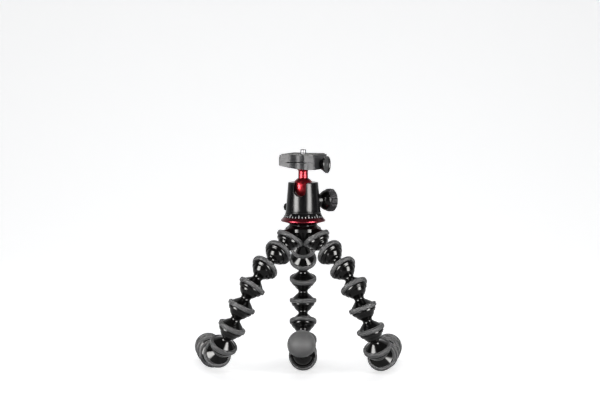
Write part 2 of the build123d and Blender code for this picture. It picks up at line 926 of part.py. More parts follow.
def clamp_body():
    """Clamp body: floor, chamfered belly and the fixed dovetail jaw on the left."""
    half = clamp_width / 2
    split = half - jaw_width - jaw_gap
    lip = rail_half() + dovetail_fit
    slope_foot = clamp_floor + dovetail_lead
    block = clamp_solid(
        (-half, clamp_bottom + clamp_belly),
        (clamp_belly_run - half, clamp_bottom),
        (split, clamp_bottom),
        (split, clamp_floor),
        (-lip, clamp_floor),
        (-lip, slope_foot),
        (jaw_slope - lip, slope_foot + jaw_slope),
        (jaw_slope - lip, jaw_top),
        (-half, jaw_top),
    )
    with BuildPart() as body:
        add(block)
        fillet(body.edges().filter_by(Axis.Z).sort_by(corner_order)[:2], clamp_round)
        with BuildSketch(head_plane(clamp_bottom)):
            Circle(stem_pad_r)
        extrude(amount=clamp_belly)
        add(scoops(), mode=Mode.SUBTRACT)
        with BuildSketch(head_plane(clamp_floor, clamp_yaw)):
            Rectangle(floor_relief_width, overrun * 2)
        extrude(amount=-floor_relief_depth, mode=Mode.SUBTRACT)
        with BuildSketch(head_plane(clamp_floor)):
            Circle(bolt_head_r + running_fit)
        extrude(amount=-bolt_sink - bolt_head_height, mode=Mode.SUBTRACT)
        with BuildSketch(head_plane(clamp_floor)):
            Circle(bolt_r + thread_fit)
        extrude(amount=-overrun, mode=Mode.SUBTRACT)
        bore = level_rod(0, clamp_screw_r + running_fit, clamp_screw_start, overrun)
        add(bore, mode=Mode.SUBTRACT)
        for place in guide_pin_places():
            bore = level_rod(place, guide_pin_r + running_fit, split - guide_pin_reach, overrun)
            add(bore, mode=Mode.SUBTRACT)
    return body.part


def corner_order(edge):
    """Places the upright edges of the clamp's left side first."""
    return head_plane(0, clamp_yaw).to_local_coords(edge.center()).X


def clamp_jaw():
    """Moving dovetail jaw on the right, with the holes of its screw and guide pins."""
    half = clamp_width / 2
    lip = rail_half() + dovetail_fit
    slope_foot = clamp_floor + dovetail_lead
    block = clamp_solid(
        (half - jaw_width, clamp_bottom),
        (half, clamp_bottom),
        (half, jaw_top),
        (lip - jaw_slope, jaw_top),
        (lip - jaw_slope, slope_foot + jaw_slope),
        (lip, slope_foot),
        (lip, clamp_floor - jaw_sink),
        (half - jaw_width, clamp_floor - jaw_sink),
    )
    with BuildPart() as jaw:
        add(block)
        fillet(jaw.edges().filter_by(Axis.Z).sort_by(corner_order)[-2:], clamp_round)
        add(level_rod(0, clamp_screw_r + running_fit, 0, overrun), mode=Mode.SUBTRACT)
        seat = half - jaw_width + guide_pin_seat
        for place in guide_pin_places():
            bore = level_rod(place, guide_pin_r + thread_fit, 0, seat)
            add(bore, mode=Mode.SUBTRACT)
    return jaw.part


def clamp_screw():
    """Steel screw that draws the jaw in."""
    tip = clamp_screw_start + running_fit
    return level_rod(0, clamp_screw_r, tip, clamp_knob_end - clamp_knob_cap)


def jaw_guide_pins():
    """Two pins that keep the jaw square to the body."""
    start = clamp_width / 2 - jaw_width
    with BuildPart() as pins:
        for place in guide_pin_places():
            tip = start - jaw_gap - guide_pin_reach + running_fit
            add(level_rod(place, guide_pin_r, tip, start + guide_pin_seat))
    return pins.part


def clamp_knob():
    """Flared knob of the clamp with a ribbed rim and a dished face."""
    rim_start = clamp_knob_end - clamp_knob_rim
    outline = [
        (clamp_screw_r + thread_fit, clamp_knob_start),
        (clamp_knob_hub_r, clamp_knob_start),
        (clamp_knob_r, rim_start),
        (clamp_knob_r, clamp_knob_end),
        (clamp_knob_dish_r, clamp_knob_end),
        (clamp_knob_dish_r - clamp_knob_cap, clamp_knob_end - clamp_knob_cap),
        (clamp_screw_r + thread_fit, clamp_knob_end - clamp_knob_cap),
    ]
    knob = turned_out(outline, clamp_screw_h, clamp_yaw - head_yaw + 90)
    rim_plane = side_plane(clamp_screw_h, clamp_yaw - head_yaw + 90, rim_start)
    with BuildPart() as ribbed:
        add(knob)
        with BuildSketch(rim_plane):
            with PolarLocations(clamp_knob_r, clamp_knob_ribs):
                Circle(clamp_knob_rib_r)
        extrude(amount=clamp_knob_rim, mode=Mode.SUBTRACT)
    return ribbed.part


def camera_plate():
    """Quick-release plate: a dovetail rail under a slab, with the pocket of its screw."""
    foot = clamp_floor + plate_lift
    slope_foot = foot + dovetail_lead
    slab = jaw_top + plate_lift
    rail = rail_half()
    neck = rail - jaw_slope
    rail_block = clamp_solid(
        (-rail, foot),
        (rail, foot),
        (rail, slope_foot),
        (neck, slope_foot + jaw_slope),
        (neck, slab),
        (-neck, slab),
        (-neck, slope_foot + jaw_slope),
        (-rail, slope_foot),
        depth=plate_depth,
    )
    with BuildPart() as plate:
        add(rail_block)
        with BuildSketch(head_plane(slab, clamp_yaw)):
            RectangleRounded(plate_width, plate_depth, plate_round)
        extrude(amount=plate_top - slab)
        add(scoops(), mode=Mode.SUBTRACT)
        with BuildSketch(head_plane(foot, clamp_yaw)):
            Circle(camera_screw_head_r + plate_lift)
        extrude(amount=camera_screw_pocket, mode=Mode.SUBTRACT)
        with BuildSketch(head_plane(foot, clamp_yaw)):
            Circle(camera_screw_r + running_fit)
        extrude(amount=overrun, mode=Mode.SUBTRACT)
    return plate.part


def plate_pad():
    """Rubber pad on the plate, with shallow grooves across it."""
    width = plate_width - 2 * pad_margin
    depth = plate_depth - 2 * pad_margin
    grooves = 2 * int(width / 2 / pad_groove_pitch) + 1
    with BuildPart() as pad:
        with BuildSketch(head_plane(plate_top, clamp_yaw)):
            RectangleRounded(width, depth, plate_round - plate_lift)
            Circle(camera_screw_r + plate_lift, mode=Mode.SUBTRACT)
        extrude(amount=pad_thickness)
        add(scoops(), mode=Mode.SUBTRACT)
        with BuildSketch(head_plane(plate_top + pad_thickness, clamp_yaw)):
            with GridLocations(pad_groove_pitch, 0, grooves, 1):
                Rectangle(pad_groove_width, overrun * 2)
        extrude(amount=-pad_groove_depth, mode=Mode.SUBTRACT)
    return pad.part


def camera_screw():
    """Slotted captive screw: head, relieved shank, and the thread that stands out of the pad."""
    foot = clamp_floor + plate_lift + camera_screw_pocket - camera_screw_head_height
    thread_foot = plate_top + pad_thickness
    with BuildPart() as screw:
        with BuildSketch(head_plane(foot, clamp_yaw)):
            Circle(camera_screw_head_r)
        extrude(amount=camera_screw_head_height)
        with BuildSketch(head_plane(foot + camera_screw_head_height, clamp_yaw)):
            Circle(camera_screw_shank_r)
        extrude(amount=thread_foot - foot - camera_screw_head_height)
        with BuildSketch(head_plane(thread_foot, clamp_yaw)):
            Circle(camera_screw_r)
        extrude(amount=camera_screw_height)
        chamfer(screw.edges().sort_by(Axis.Z)[-1], length=camera_screw_tip)
        with BuildSketch(head_plane(foot, clamp_yaw)):
            Rectangle(camera_screw_slot, overrun)
        extrude(amount=camera_screw_head_height / 2, mode=Mode.SUBTRACT)
    return screw.part


os.makedirs("parts", exist_ok=True)
pieces = {
    "hub_body": hub_body(),
    "hub_grip_rings": hub_grip_rings(),
    "hub_lid": hub_lid(),
    "hub_stud": hub_stud(),
    "hub_lid_screws": hub_lid_screws(),
}
for leg in legs:
    balls, axes = leg_chain(leg)
    for number in range(1, len(balls) - 1):
        pieces[f"{leg}_leg_link_{number}"] = leg_link(raised(balls[number - 1]), axes[number])
    pieces[f"{leg}_foot_core"] = foot_core(raised(balls[-2]), axes[-1])
    pieces[f"{leg}_foot_dome"] = foot_dome(raised(balls[-2]), axes[-1])
for make in (
    pan_base,
    pan_scale_ring,
    pan_spindle,
    head_housing,
    ball_seat,
    pressure_wedge,
    lock_knob_shaft,
    lock_knob_core,
    lock_knob_grip,
    pan_lock_screw,
    pan_lock_knob,
    ball,
    ball_stem,
    clamp_bolt,
    clamp_body,
    clamp_jaw,
    clamp_screw,
    clamp_knob,
    jaw_guide_pins,
    camera_plate,
    plate_pad,
    camera_screw,
):
    pieces[make.__name__] = make()

# Move everything so that the bottom centre of the whole tripod is the origin
boxes = [piece.bounding_box() for piece in pieces.values()]
low = [min(box.min.to_tuple()[k] for box in boxes) for k in range(3)]
high = [max(box.max.to_tuple()[k] for box in boxes) for k in range(3)]
shift = (-(low[0] + high[0]) / 2, -(low[1] + high[1]) / 2, -low[2])
for name, piece in pieces.items():
    placed = piece.moved(Location(shift))
    placed.label = name
    export_step(placed, f"parts/{name}.step")
    print(name, len(placed.solids()))
print("head axis at", round(shift[0], 4), round(shift[1], 4))
print("hub top at", round(hub_top + shift[2], 4))
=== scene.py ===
# %% [markdown]
# This notebook dresses a flexible tripod: three bent legs of ball-and-cup links, a small hub,
# and a ball head with a screw clamp on top. The rigid frame of the object is loaded first, as
# one object per part, and every finished piece is laid over the part that it stands for.

import json
import math
import bmesh
import bpy
from mathutils import Matrix, Vector


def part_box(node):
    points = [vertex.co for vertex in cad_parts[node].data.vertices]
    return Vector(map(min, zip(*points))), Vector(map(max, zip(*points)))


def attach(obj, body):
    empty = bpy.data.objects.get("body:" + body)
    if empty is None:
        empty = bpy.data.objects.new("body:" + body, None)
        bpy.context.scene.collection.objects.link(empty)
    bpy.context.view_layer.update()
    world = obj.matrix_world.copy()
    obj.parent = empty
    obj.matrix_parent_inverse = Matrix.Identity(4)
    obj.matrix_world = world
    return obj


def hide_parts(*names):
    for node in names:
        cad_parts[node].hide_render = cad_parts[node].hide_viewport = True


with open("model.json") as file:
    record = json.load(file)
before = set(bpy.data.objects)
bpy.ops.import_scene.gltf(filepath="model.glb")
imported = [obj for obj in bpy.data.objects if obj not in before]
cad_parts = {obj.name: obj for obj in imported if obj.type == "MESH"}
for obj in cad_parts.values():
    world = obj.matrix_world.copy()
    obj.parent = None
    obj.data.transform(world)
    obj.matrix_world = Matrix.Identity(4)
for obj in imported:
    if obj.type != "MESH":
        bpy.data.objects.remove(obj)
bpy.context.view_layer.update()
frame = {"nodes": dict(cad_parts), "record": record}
MM = 0.001
joints = {joint["name"]: joint for joint in frame["record"]["behaviour"]["joints"]}

# %% [markdown]
# Everything on the head is easiest to describe from the head's own axis. That axis passes
# through the pivot of the pan joint, and the top of the hub is the face that the head sits on.
# A piece that is turned on a lathe needs only that point, a direction and a profile, so one
# small function returns the matrix that stands a lathe profile on any axis.

# %% Where the head stands
pan_pivot = Vector(joints["head_pan"]["pos_m"])
head_foot = Vector((pan_pivot.x, pan_pivot.y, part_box("hub_lid")[1][2]))
HEAD_YAW = math.radians(-13)


def standing(origin, axis, roll=0.0):
    """Matrix that puts local Z along an axis, with local X level wherever it can be."""
    up = Vector(axis).normalized()
    side = up.cross(Vector((0, 0, 1)))
    if side.length < 0.01:
        side = Vector((1, 0, 0))
    side.normalize()
    turn = Matrix((side, up.cross(side), up)).transposed().to_4x4()
    return Matrix.Translation(origin) @ turn @ Matrix.Rotation(roll, 4, "Z")


print("head stands at", [round(v, 4) for v in head_foot])

# %% [markdown]
# The camera comes next, because every later choice is judged through it. The photograph was
# taken from a little above the hub with a long lens, so upright edges stay upright. A long lens
# far away is right here: a short one would swell the knee of each leg that leans forward.

# %% Camera
CAMERA_DISTANCE = 1.8
CAMERA_RISE = math.radians(5)
LENS = 92.3
AIM_ACROSS, AIM_UP = -3.7, 28.0
look_at = head_foot + Vector((AIM_ACROSS * MM, 0, AIM_UP * MM))
camera_data = bpy.data.cameras.new("camera")
camera_data.lens = LENS
camera_data.sensor_width = 36
camera = bpy.data.objects.new("camera", camera_data)
bpy.context.scene.collection.objects.link(camera)
back = Vector((0, -math.cos(CAMERA_RISE), math.sin(CAMERA_RISE)))
camera.location = look_at + CAMERA_DISTANCE * back
camera.rotation_euler = (math.radians(90) - CAMERA_RISE, 0, 0)
bpy.context.scene.camera = camera
print("camera", [round(v, 3) for v in camera.location])

# %% [markdown]
# The studio is plain: a pale floor that sweeps up into a wall, two tall soft boxes at either
# side of the camera, and a weaker one above and behind. The sweep is one curved sheet, because a
# corner between floor and wall would show as a line.

# %% Floor and backdrop
SWEEP_RADIUS = 1.2
SWEEP_HALF_WIDTH = 6.0
SWEEP_STEPS = 24
FLOOR_FRONT, FLOOR_BACK = -5.0, 1.0
WALL_TOP = 5.0


def sweep_sheet():
    """Floor that curves up into a wall behind the object."""
    mesh = bmesh.new()
    path = [(FLOOR_FRONT, 0.0), (FLOOR_BACK, 0.0)]
    for step in range(1, SWEEP_STEPS + 1):
        angle = math.radians(90) * step / SWEEP_STEPS
        back = FLOOR_BACK + SWEEP_RADIUS * math.sin(angle)
        path.append((back, SWEEP_RADIUS * (1 - math.cos(angle))))
    path.append((FLOOR_BACK + SWEEP_RADIUS, WALL_TOP))
    rows = [
        [mesh.verts.new((side * SWEEP_HALF_WIDTH, y, z)) for side in (-1, 1)] for y, z in path
    ]
    for before, after in zip(rows, rows[1:]):
        mesh.faces.new((before[0], before[1], after[1], after[0])).smooth = True
    data = bpy.data.meshes.new("studio_sweep")
    mesh.to_mesh(data)
    mesh.free()
    return bpy.data.objects.new("studio_sweep", data)


sweep = sweep_sheet()
bpy.context.scene.collection.objects.link(sweep)
print("sweep faces:", len(sweep.data.polygons))

# %% [markdown]
# The sheet's own colour is a very pale grey, and only the camera and clear reflections see it a
# little brighter than the lamps make it. That keeps the background white while the lamps stay
# at a plain level, so no colour on the object is washed out.

# %% Sweep material
PAPER_GLOW = 0.55


def new_material(name):
    """Node material with its Principled shader, ready to be wired."""
    material = bpy.data.materials.new(name)
    material.use_nodes = True
    shader = material.node_tree.nodes["Principled BSDF"]
    return material, material.node_tree, shader


paper, paper_tree, paper_shader = new_material("studio_paper")
paper_shader.inputs["Base Color"].default_value = (0.86, 0.86, 0.86, 1)
paper_shader.inputs["Roughness"].default_value = 0.9
paper_shader.inputs["Specular IOR Level"].default_value = 0.0
paper_shader.inputs["Emission Color"].default_value = (1, 1, 1, 1)
rays = paper_tree.nodes.new("ShaderNodeLightPath")
clear_view = paper_tree.nodes.new("ShaderNodeMath")
clear_view.operation = "MAXIMUM"
paper_tree.links.new(rays.outputs["Is Camera Ray"], clear_view.inputs[0])
paper_tree.links.new(rays.outputs["Is Transmission Ray"], clear_view.inputs[1])
seen = paper_tree.nodes.new("ShaderNodeMath")
seen.operation = "MAXIMUM"
paper_tree.links.new(clear_view.outputs[0], seen.inputs[0])
paper_tree.links.new(rays.outputs["Is Glossy Ray"], seen.inputs[1])
glow = paper_tree.nodes.new("ShaderNodeMath")
glow.operation = "MULTIPLY"
glow.inputs[1].default_value = PAPER_GLOW
paper_tree.links.new(seen.outputs[0], glow.inputs[0])
paper_tree.links.new(glow.outputs[0], paper_shader.inputs["Emission Strength"])
sweep.data.materials.append(paper)
print("paper glow:", glow.inputs[1].default_value)

# %% [markdown]
# A small dark object needs large lamps, because only a large lamp gives a soft edge to light and
# shade. Both front boxes stand at the same height and distance, so neither side is favoured. A
# third hangs above and behind for the top faces, and the room itself adds a little even light
# that keeps the shadows open. Reflections don't see these lamps, because the next step makes
# cards for them.

# %% Soft boxes and room light
LIGHT_HEIGHT = 0.34
LIGHT_DISTANCE = 1.25
LIGHT_TALL = 1.2
AIM_HEIGHT = 0.16


def soft_box(name, azimuth, height, distance, width, tall, watts):
    """Rectangular lamp at an azimuth from the viewer, aimed at the middle of the object."""
    lamp = bpy.data.lights.new(name, "AREA")
    lamp.shape = "RECTANGLE"
    lamp.size = width
    lamp.size_y = tall
    lamp.energy = watts
    holder = bpy.data.objects.new(name, lamp)
    bpy.context.scene.collection.objects.link(holder)
    turn = math.radians(azimuth)
    place = Vector((math.sin(turn), -math.cos(turn), 0)) * distance
    holder.location = Vector((head_foot.x, head_foot.y, height)) + place
    aim = Vector((head_foot.x, head_foot.y, AIM_HEIGHT)) - holder.location
    holder.rotation_euler = aim.to_track_quat("-Z", "Y").to_euler()
    holder.visible_glossy = False
    return holder


soft_box("soft_box_left", -50, LIGHT_HEIGHT, LIGHT_DISTANCE, 0.85, LIGHT_TALL, 9.5)
soft_box("soft_box_right", 45, LIGHT_HEIGHT, LIGHT_DISTANCE, 0.75, LIGHT_TALL, 9)
soft_box("soft_box_top", 175, 1.5, 0.6, LIGHT_TALL, LIGHT_TALL, 8)
world = bpy.data.worlds.new("room")
bpy.context.scene.world = world
world.use_nodes = True
room = world.node_tree.nodes["Background"]
room.inputs["Color"].default_value = (0.95, 0.97, 1.0, 1)
room.inputs["Strength"].default_value = 0.25
bpy.context.scene.view_settings.view_transform = "Standard"
print("lamps:", len(bpy.data.lights))

# %% [markdown]
# Black gloss shows its form only through what it reflects, so a photographer stands bright
# cards beside the camera and watches them slide over every curve. The cards here are seen only
# in reflections. They light nothing, so the lamps alone decide how bright a colour is. Each card
# fades towards its upright edges, because a hard edge would draw a hard stripe.

# %% Reflection cards
CARD_STRENGTH = 58
CARD_EDGE = 0.5
FADE_START = 0.12


def reflection_card(name, azimuth, width):
    """Bright upright card at an azimuth from the viewer that only reflections see."""
    finish, tree, shader = new_material(name)
    shader.inputs["Base Color"].default_value = (0, 0, 0, 1)
    shader.inputs["Specular IOR Level"].default_value = 0.0
    shader.inputs["Emission Color"].default_value = (1.0, 0.99, 0.97, 1)
    where = tree.nodes.new("ShaderNodeTexCoord")
    parts = tree.nodes.new("ShaderNodeSeparateXYZ")
    tree.links.new(where.outputs["Object"], parts.inputs[0])
    across = tree.nodes.new("ShaderNodeMath")
    across.operation = "ABSOLUTE"
    tree.links.new(parts.outputs["X"], across.inputs[0])
    fade = tree.nodes.new("ShaderNodeMapRange")
    fade.interpolation_type = "SMOOTHSTEP"
    fade.inputs["From Min"].default_value = FADE_START
    fade.inputs["From Max"].default_value = CARD_EDGE
    fade.inputs["To Min"].default_value = CARD_STRENGTH
    fade.inputs["To Max"].default_value = 0.0
    tree.links.new(across.outputs[0], fade.inputs["Value"])
    tree.links.new(fade.outputs["Result"], shader.inputs["Emission Strength"])
    mesh = bmesh.new()
    bmesh.ops.create_grid(mesh, x_segments=1, y_segments=1, size=CARD_EDGE)
    data = bpy.data.meshes.new(name)
    mesh.to_mesh(data)
    mesh.free()
    data.materials.append(finish)
    card = bpy.data.objects.new(name, data)
    bpy.context.scene.collection.objects.link(card)
    turn = math.radians(azimuth)
    place = Vector((math.sin(turn), -math.cos(turn), 0)) * LIGHT_DISTANCE
    card.location = Vector((head_foot.x, head_foot.y, LIGHT_HEIGHT)) + place
    aim = Vector((head_foot.x, head_foot.y, AIM_HEIGHT)) - card.location
    card.rotation_euler = aim.to_track_quat("-Z", "Y").to_euler()
    card.scale = (width, LIGHT_TALL, 1)
    for ray in ("visible_camera", "visible_diffuse", "visible_transmission", "visible_shadow"):
        setattr(card, ray, False)
    return card


reflection_card("card_left", -50, 1.05)
reflection_card("card_right", 45, 0.95)
print("cards: 2")

# %% [markdown]
# Finishes come before shapes, so that each piece can be dressed as it is made. Every finish is
# a Principled shader with noise wired into its colour, its roughness and a bump. The noise is
# read in object coordinates, so its grain has a real size in metres on every piece. One
# function wires the three, because what differs from finish to finish is only the numbers. The
# broad noise under colour and roughness is several times coarser than the fine noise of the bump.

# %% Grain
BROAD_SHARE = 0.08


def grain(tree, shader, colour, spread, rough, rough_spread, grain_size, bump_height):
    """Wire noise into colour, roughness and bump of a shader; the sizes are in metres."""
    place = tree.nodes.new("ShaderNodeTexCoord")
    fine = tree.nodes.new("ShaderNodeTexNoise")
    fine.inputs["Scale"].default_value = 1.0 / grain_size
    fine.inputs["Detail"].default_value = 4.0
    tree.links.new(place.outputs["Object"], fine.inputs["Vector"])
    broad = tree.nodes.new("ShaderNodeTexNoise")
    broad.inputs["Scale"].default_value = BROAD_SHARE / grain_size
    broad.inputs["Detail"].default_value = 3.0
    tree.links.new(place.outputs["Object"], broad.inputs["Vector"])
    tint = tree.nodes.new("ShaderNodeValToRGB")
    tint.color_ramp.elements[0].position = 0.3
    tint.color_ramp.elements[0].color = tuple(c * (1 - spread) for c in colour) + (1,)
    tint.color_ramp.elements[1].position = 0.7
    tint.color_ramp.elements[1].color = tuple(min(1, c * (1 + spread)) for c in colour) + (1,)
    tree.links.new(broad.outputs["Fac"], tint.inputs["Fac"])
    tree.links.new(tint.outputs["Color"], shader.inputs["Base Color"])
    wear = tree.nodes.new("ShaderNodeMapRange")
    wear.inputs["To Min"].default_value = rough - rough_spread
    wear.inputs["To Max"].default_value = rough + rough_spread
    tree.links.new(broad.outputs["Fac"], wear.inputs["Value"])
    tree.links.new(wear.outputs["Result"], shader.inputs["Roughness"])
    bump = tree.nodes.new("ShaderNodeBump")
    bump.inputs["Strength"].default_value = 0.6
    bump.inputs["Distance"].default_value = bump_height
    tree.links.new(fine.outputs["Fac"], bump.inputs["Height"])
    tree.links.new(bump.outputs["Normal"], shader.inputs["Normal"])
    return place, bump


print("one grain function for every finish")

# %% [markdown]
# The links, the hub and the knob cores are moulded in black plastic with a high gloss. Moulded
# gloss isn't a mirror: it has a faint waviness, and handling leaves it duller in patches. A very
# small bump and a roughness that drifts over a few millimetres give both.

# %% Moulded black
moulded_black, tree, shader = new_material("moulded_black")
grain(tree, shader, (0.0035, 0.0033, 0.0032), 0.25, 0.10, 0.03, 0.004, 0.00002)
shader.inputs["Specular IOR Level"].default_value = 0.13
print(moulded_black.name)

# %% [markdown]
# The grip rings and the feet are grey rubber. Rubber scatters most light, so it is rough, and
# the moulded rings carry fine ridges round their rim. A ring is turned about its own local Z,
# so bands along Z become ridges that follow the rim, with no modelling at all. At a scale of 1
# the bands of a wave texture repeat every 0.314 metres, so the scale follows from the pitch.

# %% Grey rubber with ridges
WAVE_LENGTH = 0.314
RIDGE_PITCH = 0.0009
RIDGE_HEIGHT = 0.00012


def ridged(tree, bump, place):
    """Add fine ridges along local Z to a finish's bump."""
    bands = tree.nodes.new("ShaderNodeTexWave")
    bands.wave_type = "BANDS"
    bands.bands_direction = "Z"
    bands.inputs["Scale"].default_value = WAVE_LENGTH / RIDGE_PITCH
    bands.inputs["Distortion"].default_value = 0.0
    tree.links.new(place.outputs["Object"], bands.inputs["Vector"])
    second = tree.nodes.new("ShaderNodeBump")
    second.inputs["Strength"].default_value = 0.7
    second.inputs["Distance"].default_value = RIDGE_HEIGHT
    tree.links.new(bands.outputs["Fac"], second.inputs["Height"])
    tree.links.new(bump.outputs["Normal"], second.inputs["Normal"])
    return second


ring_rubber, tree, shader = new_material("ring_rubber")
place, bump = grain(tree, shader, (0.03, 0.03, 0.031), 0.2, 0.62, 0.08, 0.0009, 0.00006)
ridges = ridged(tree, bump, place)
tree.links.new(ridges.outputs["Normal"], shader.inputs["Normal"])
shader.inputs["Sheen Weight"].default_value = 0.08
shader.inputs["Specular IOR Level"].default_value = 0.25

foot_rubber, tree, shader = new_material("foot_rubber")
grain(tree, shader, (0.042, 0.042, 0.043), 0.18, 0.66, 0.07, 0.0007, 0.00008)
shader.inputs["Sheen Weight"].default_value = 0.1
shader.inputs["Specular IOR Level"].default_value = 0.25
print(ring_rubber.name, foot_rubber.name)

# %% [markdown]
# The head is metal under a hard black coat. Its base disc, ball and stem are anodised: red dye
# in a clear skin over bare metal. So the red is a dark metal that colours what it reflects, with
# a thin clear coat on top for the white glints. The disc is the same red, but it gets a darker
# copy of the finish as painted shade for the dark housing and hub that it reflects. That copy is
# also smoother.

# %% Lacquered black and red
head_black, tree, shader = new_material("head_black")
grain(tree, shader, (0.004, 0.004, 0.0043), 0.2, 0.22, 0.05, 0.0008, 0.00001)
shader.inputs["Specular IOR Level"].default_value = 0.09
shader.inputs["Coat Weight"].default_value = 0.055
shader.inputs["Coat Roughness"].default_value = 0.1

head_red, tree, shader = new_material("head_red")
grain(tree, shader, (0.12, 0.004, 0.007), 0.08, 0.33, 0.05, 0.0008, 0.00001)
shader.inputs["Metallic"].default_value = 0.9
shader.inputs["Coat Weight"].default_value = 0.06
shader.inputs["Coat Roughness"].default_value = 0.08

# A darker copy of the head's red, as painted shade on the disc for the dark parts that it
# reflects.
disc_red_painted_shade, tree, shader = new_material("disc_red_painted_shade")
grain(tree, shader, (0.085, 0.004, 0.009), 0.1, 0.24, 0.04, 0.0008, 0.00001)
shader.inputs["Metallic"].default_value = 0.9
shader.inputs["Coat Weight"].default_value = 0.05
shader.inputs["Coat Roughness"].default_value = 0.06
print(head_black.name, head_red.name, disc_red_painted_shade.name)

# %% [markdown]
# The clamp and its plate are aluminium, blasted and anodised grey. Blasting leaves a fine even
# grain that softens every reflection, so the metal is rough with a tiny bump. Screws and pins
# are bare steel with an oiled dark surface, which is smoother.

# %% Blasted aluminium and steel
blasted_grey, tree, shader = new_material("blasted_grey")
grain(tree, shader, (0.035, 0.035, 0.037), 0.06, 0.34, 0.05, 0.0004, 0.00002)
shader.inputs["Specular IOR Level"].default_value = 0.095

bare_steel, tree, shader = new_material("bare_steel")
grain(tree, shader, (0.07, 0.07, 0.073), 0.08, 0.38, 0.06, 0.0006, 0.00001)
shader.inputs["Metallic"].default_value = 1.0
print(blasted_grey.name, bare_steel.name)

# %% [markdown]
# The remaining finishes are small areas: the dark rubber over the lock knob, the black pad on
# the plate, the black coat of the two small knobs, and the pale slippery plastic that carries
# the ball inside the head.

# %% Knob rubber, pad rubber, dark knobs and seat plastic
knob_rubber, tree, shader = new_material("knob_rubber")
grain(tree, shader, (0.019, 0.018, 0.020), 0.15, 0.6, 0.06, 0.0006, 0.00005)
shader.inputs["Specular IOR Level"].default_value = 0.1

pad_black, tree, shader = new_material("pad_black")
grain(tree, shader, (0.018, 0.018, 0.018), 0.2, 0.7, 0.08, 0.0005, 0.00008)

knob_dark, tree, shader = new_material("knob_dark")
grain(tree, shader, (0.005, 0.005, 0.0052), 0.15, 0.22, 0.05, 0.0006, 0.00002)
shader.inputs["Specular IOR Level"].default_value = 0.14

seat_pale, tree, shader = new_material("seat_pale")
grain(tree, shader, (0.55, 0.54, 0.5), 0.06, 0.4, 0.05, 0.001, 0.00002)
print(len(bpy.data.materials), "finishes")

# %% [markdown]
# Nearly everything on this object is turned: links, rings, feet, disc, housing, ball and knobs.
# A lathe in mesh code is short: a profile of radius and height is repeated round an axis and
# the rows are joined. It gives an even mesh with as many steps as a mirror-like gloss needs,
# which the coarser solids of the frame don't have. Rounded corners are arcs in the profile.

# %% Lathe


def arc(centre, radius, start, end, steps=8):
    """Points of an arc in a profile, given in millimetres and degrees."""
    points = []
    for step in range(steps + 1):
        angle = math.radians(start + (end - start) * step / steps)
        points.append((centre[0] + radius * math.cos(angle), centre[1] + radius * math.sin(angle)))
    return points


def lathe_mesh(name, profile, steps=72, sharp=35):
    """Mesh turned from a closed profile of (radius, height) in millimetres, about local Z."""
    mesh = bmesh.new()
    rows = []
    for radius, height in profile:
        if radius < 0.001:
            rows.append([mesh.verts.new((0, 0, height * MM))])
            continue
        rows.append(
            [
                mesh.verts.new(
                    (
                        radius * MM * math.cos(math.tau * turn / steps),
                        radius * MM * math.sin(math.tau * turn / steps),
                        height * MM,
                    )
                )
                for turn in range(steps)
            ]
        )
    for before, after in zip(rows, rows[1:] + rows[:1]):
        if len(before) == len(after) == 1:
            continue
        for turn in range(steps):
            follow = (turn + 1) % steps
            if len(before) == 1:
                mesh.faces.new((before[0], after[turn], after[follow]))
            elif len(after) == 1:
                mesh.faces.new((before[turn], after[0], before[follow]))
            else:
                mesh.faces.new((before[turn], after[turn], after[follow], before[follow]))
    bmesh.ops.recalc_face_normals(mesh, faces=mesh.faces)
    data = bpy.data.meshes.new(name)
    mesh.to_mesh(data)
    mesh.free()
    data.shade_smooth()
    data.set_sharp_from_angle(angle=math.radians(sharp))
    return data


def piece(name, data, finish, body, node, place=None):
    """Object in the scene that wears a finish, rides on a body and stands for a part."""
    made = bpy.data.objects.new(name, data)
    if place is not None:
        made.matrix_world = place
    bpy.context.scene.collection.objects.link(made)
    if not data.materials:
        data.materials.append(finish)
    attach(made, body)
    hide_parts(node)
    return made


print("lathe ready")

# %% [markdown]
# One link is a ball, a narrow waist and a cup that holds the next ball. Its rubber ring lies in
# a seat behind the cup's flange, and the lip beyond the flange curls in round the ball. All
# twenty-seven links are the same moulding, so one mesh is turned for them all. The ring is a mesh
# of its own because it has another finish. A slanted moulding is settled: its place is worked
# into its points, so that its box fits it closely and its grain differs from its neighbour's. A
# ring isn't, because its ridges need its own local Z.

# %% Link profile
PITCH = 26.5
BALL_R = 12.0
CUP_R = 12.15
RING_BACK = 20.4
RING_FRONT = 25.8
RING_GAP = 0.02
RING_SEAT_R = 13.3
RING_BORE_R = 13.35
RING_FLAT_R = 14.8
RING_EDGE = 1.6


def ball_and_waist():
    """Start of a profile that links and feet share, from the ball's cut end to the waist."""
    points = [(0, -11.0)] + arc((0, 0), BALL_R, -66.4, 57.8, 22)
    points += [(6.05, 10.9), (5.75, 11.6), (5.6, 12.3), (5.68, 13.0), (6.0, 13.8), (6.6, 14.5)]
    return points


def link_profile():
    """Closed profile of a link from its ball to its cup, and back along the hollow."""
    points = ball_and_waist() + [(9.6, 17.0), (12.9, RING_BACK - 0.3)]
    points += [(RING_SEAT_R, RING_BACK), (RING_SEAT_R, RING_FRONT)]
    points += arc((13.8, RING_FRONT + 0.4), 0.4, -90, 0, 3)
    points += [(14.2, 27.0)] + arc((12.6, 27.4), 1.6, 8, 55, 5)
    points += [(13.1, 29.5), (12.8, 30.0), (12.45, 30.3), (11.8, 30.3)]
    points += arc((0, PITCH), CUP_R, 17.6, -90, 16)
    return points


def ring_outline():
    """Closed profile of a rubber ring, flat on both sides with rounded outer edges."""
    low, high = RING_BACK + RING_GAP, RING_FRONT - RING_GAP
    points = [(RING_BORE_R, low)]
    points += arc((RING_FLAT_R, low + RING_EDGE), RING_EDGE, -90, 0, 6)
    points += arc((RING_FLAT_R, high - RING_EDGE), RING_EDGE, 0, 90, 6)
    return points + [(RING_BORE_R, high)]


def settled(data, place):
    """Copy of a mesh with its place worked into its points."""
    copy = data.copy()
    copy.transform(place)
    return copy


